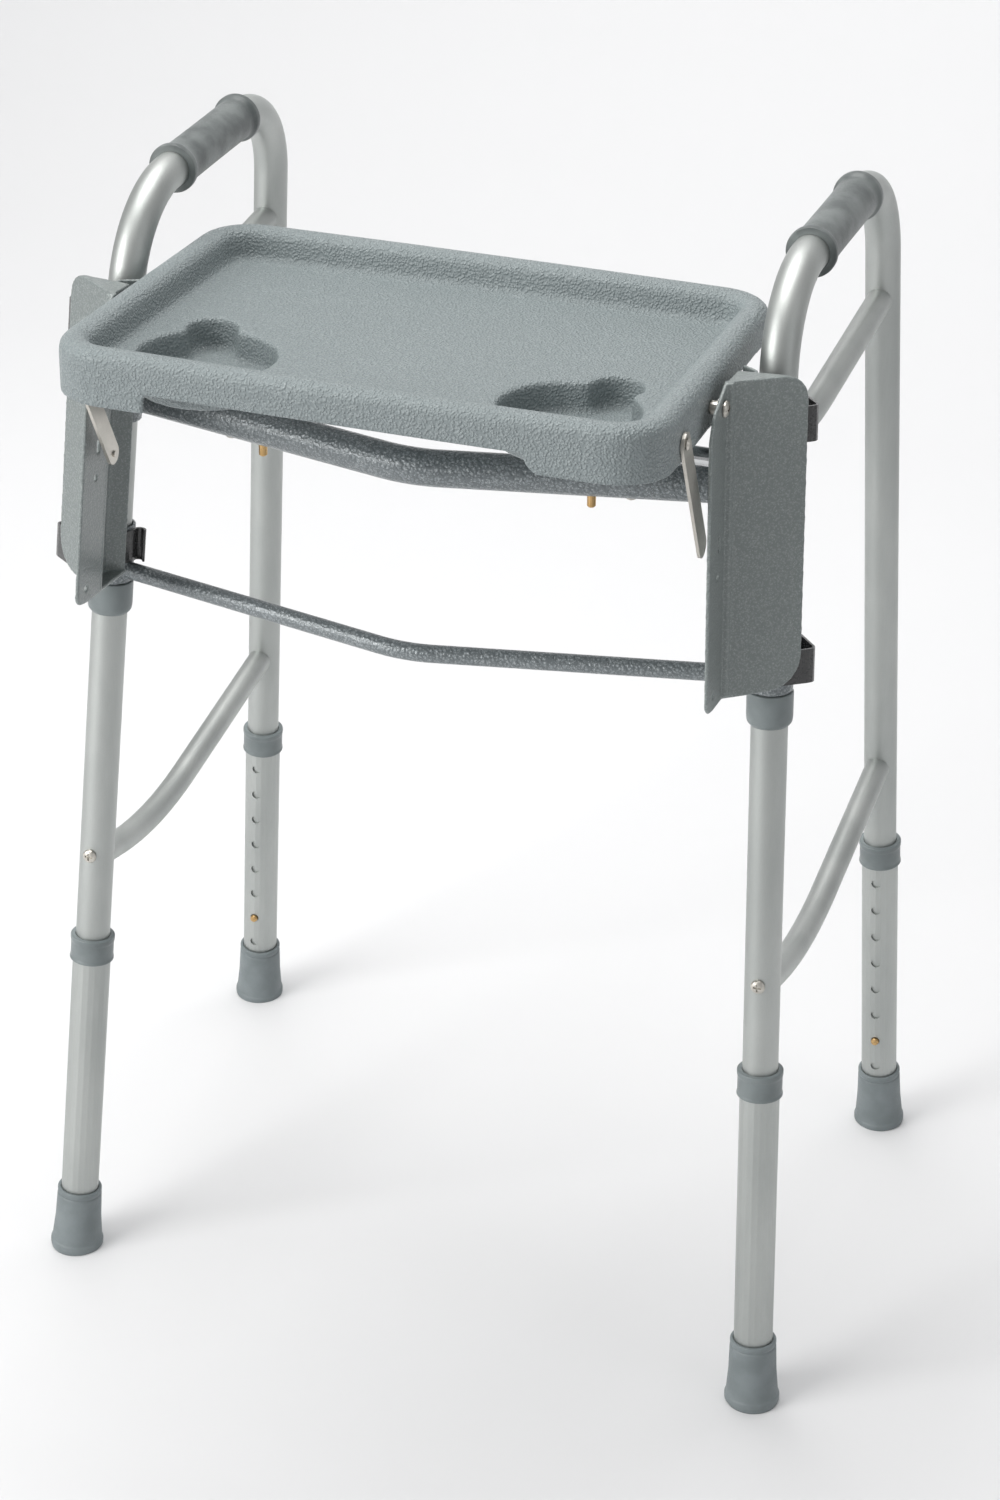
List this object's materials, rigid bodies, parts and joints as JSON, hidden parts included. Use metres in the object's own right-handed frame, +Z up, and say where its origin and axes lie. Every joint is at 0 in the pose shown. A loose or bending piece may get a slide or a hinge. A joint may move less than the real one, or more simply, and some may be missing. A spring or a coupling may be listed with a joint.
{
  "type": "folding walking frame with tray",
  "caption": "Aluminium walking frame with folding sides, height-adjustable legs, moulded grips and a tilting tray with cup wells between the front legs.",
  "frame": {"origin": "middle of the base, on the floor, under the middle of the overall box", "axes": "+Z up, -Y the front where the cross braces and the tray stand out, +X the right side seen from the front"},
  "size_m": [0.5988, 0.5224, 0.8516],
  "materials": {
    "satin_aluminium": "satin drawn tube",
    "dark_hammertone": "dark grey hammered paint",
    "grey_hammertone": "mid grey hammered paint",
    "tray_plastic": "fine pebble texture",
    "grey_plastic": "moulded, slightly soft",
    "foot_rubber": "moulded",
    "brass": "bright",
    "plated_steel": "nickel plated",
    "spring_steel_black": "black enamel"
  },
  "bodies": {
    "front_unit": {"cross_brace_upper": "dark_hammertone", "cross_brace_lower": "dark_hammertone", "tray_bracket_r": "grey_hammertone", "tray_bracket_l": "grey_hammertone", "clip_upper_r": "spring_steel_black", "clip_upper_l": "spring_steel_black", "clip_lower_r": "spring_steel_black", "clip_lower_l": "spring_steel_black", "spreader_rod": "plated_steel", "tray_pivot_r": "plated_steel", "tray_pivot_l": "plated_steel", "brace_rivet_r": "plated_steel", "brace_rivet_l": "plated_steel"},
    "tray_unit": {"tray": "tray_plastic", "stay_rivet_r": "plated_steel", "stay_rivet_l": "plated_steel"},
    "side_r": {"side_frame_r": "satin_aluminium", "grip_r": "grey_plastic", "side_brace_upper_r": "satin_aluminium", "side_brace_lower_r": "satin_aluminium", "side_brace_screw_r": "plated_steel", "stop_collar_r": "grey_plastic"},
    "extension_front_r": {"leg_extension_front_r": "satin_aluminium", "leg_collar_front_r": "grey_plastic", "foot_tip_front_r": "foot_rubber"},
    "button_front_r": {"snap_button_front_r": "brass"},
    "extension_rear_r": {"leg_extension_rear_r": "satin_aluminium", "leg_collar_rear_r": "grey_plastic", "foot_tip_rear_r": "foot_rubber"},
    "button_rear_r": {"snap_button_rear_r": "brass"},
    "stay_r": {"stay_r": "plated_steel"},
    "pin_r": {"lock_pin_r": "brass"},
    "side_l": {"side_frame_l": "satin_aluminium", "grip_l": "grey_plastic", "side_brace_upper_l": "satin_aluminium", "side_brace_lower_l": "satin_aluminium", "side_brace_screw_l": "plated_steel", "stop_collar_l": "grey_plastic"},
    "extension_front_l": {"leg_extension_front_l": "satin_aluminium", "leg_collar_front_l": "grey_plastic", "foot_tip_front_l": "foot_rubber"},
    "button_front_l": {"snap_button_front_l": "brass"},
    "extension_rear_l": {"leg_extension_rear_l": "satin_aluminium", "leg_collar_rear_l": "grey_plastic", "foot_tip_rear_l": "foot_rubber"},
    "button_rear_l": {"snap_button_rear_l": "brass"},
    "stay_l": {"stay_l": "plated_steel"},
    "pin_l": {"lock_pin_l": "brass"}
  },
  "joints": [
    {"name": "tray_tilt", "type": "hinge", "parent": "front_unit", "child": "tray_unit", "pos_m": [0, -0.14235, 0.779], "axis": [1, 0, 0], "range_deg": [0, 78]},
    {"name": "fold_r", "type": "hinge", "parent": "front_unit", "child": "side_r", "pos_m": [0.2386, -0.08405, 0.64], "axis": [-0.0547, 0.0906, 0.9944], "range_deg": [0, 38]},
    {"name": "height_front_r", "type": "slide", "parent": "side_r", "child": "extension_front_r", "axis": [0.0547, -0.0906, -0.9944], "range_m": [-0.0254, 0.127]},
    {"name": "button_front_r", "type": "slide", "parent": "side_r", "child": "button_front_r", "axis": [0, -0.9959, 0.0907], "range_m": [0, 0.0048], "stiffness_N_per_m": 900, "springref_m": -0.004},
    {"name": "height_rear_r", "type": "slide", "parent": "side_r", "child": "extension_rear_r", "axis": [0.0548, 0.0524, -0.9971], "range_m": [-0.0254, 0.127]},
    {"name": "button_rear_r", "type": "slide", "parent": "side_r", "child": "button_rear_r", "axis": [0, 0.9986, 0.0525], "range_m": [0, 0.0048], "stiffness_N_per_m": 900, "springref_m": -0.004},
    {"name": "stay_r", "type": "hinge", "parent": "tray_unit", "child": "stay_r", "pos_m": [0.207, -0.20535, 0.7795], "axis": [1, 0, 0], "range_deg": [-112, 0]},
    {"name": "lock_pin_r", "type": "slide", "parent": "front_unit", "child": "pin_r", "axis": [0, 0, 1], "range_m": [0, 0.004], "stiffness_N_per_m": 700, "springref_m": -0.004},
    {"name": "fold_l", "type": "hinge", "parent": "front_unit", "child": "side_l", "pos_m": [-0.2386, -0.08405, 0.64], "axis": [-0.0547, -0.0906, -0.9944], "range_deg": [0, 38]},
    {"name": "height_front_l", "type": "slide", "parent": "side_l", "child": "extension_front_l", "axis": [-0.0547, -0.0906, -0.9944], "range_m": [-0.0254, 0.127]},
    {"name": "button_front_l", "type": "slide", "parent": "side_l", "child": "button_front_l", "axis": [0, -0.9959, 0.0907], "range_m": [0, 0.0048], "stiffness_N_per_m": 900, "springref_m": -0.004},
    {"name": "height_rear_l", "type": "slide", "parent": "side_l", "child": "extension_rear_l", "axis": [-0.0548, 0.0524, -0.9971], "range_m": [-0.0254, 0.127]},
    {"name": "button_rear_l", "type": "slide", "parent": "side_l", "child": "button_rear_l", "axis": [0, 0.9986, 0.0525], "range_m": [0, 0.0048], "stiffness_N_per_m": 900, "springref_m": -0.004},
    {"name": "stay_l", "type": "hinge", "parent": "tray_unit", "child": "stay_l", "pos_m": [-0.207, -0.20535, 0.7795], "axis": [1, 0, 0], "range_deg": [-112, 0]},
    {"name": "lock_pin_l", "type": "slide", "parent": "front_unit", "child": "pin_l", "axis": [0, 0, 1], "range_m": [0, 0.004], "stiffness_N_per_m": 700, "springref_m": -0.004}
  ],
  "couplings": [
    {"joint": "stay_r", "follows": "tray_tilt", "ratio": -1.385},
    {"joint": "stay_l", "follows": "tray_tilt", "ratio": -1.385}
  ]
}
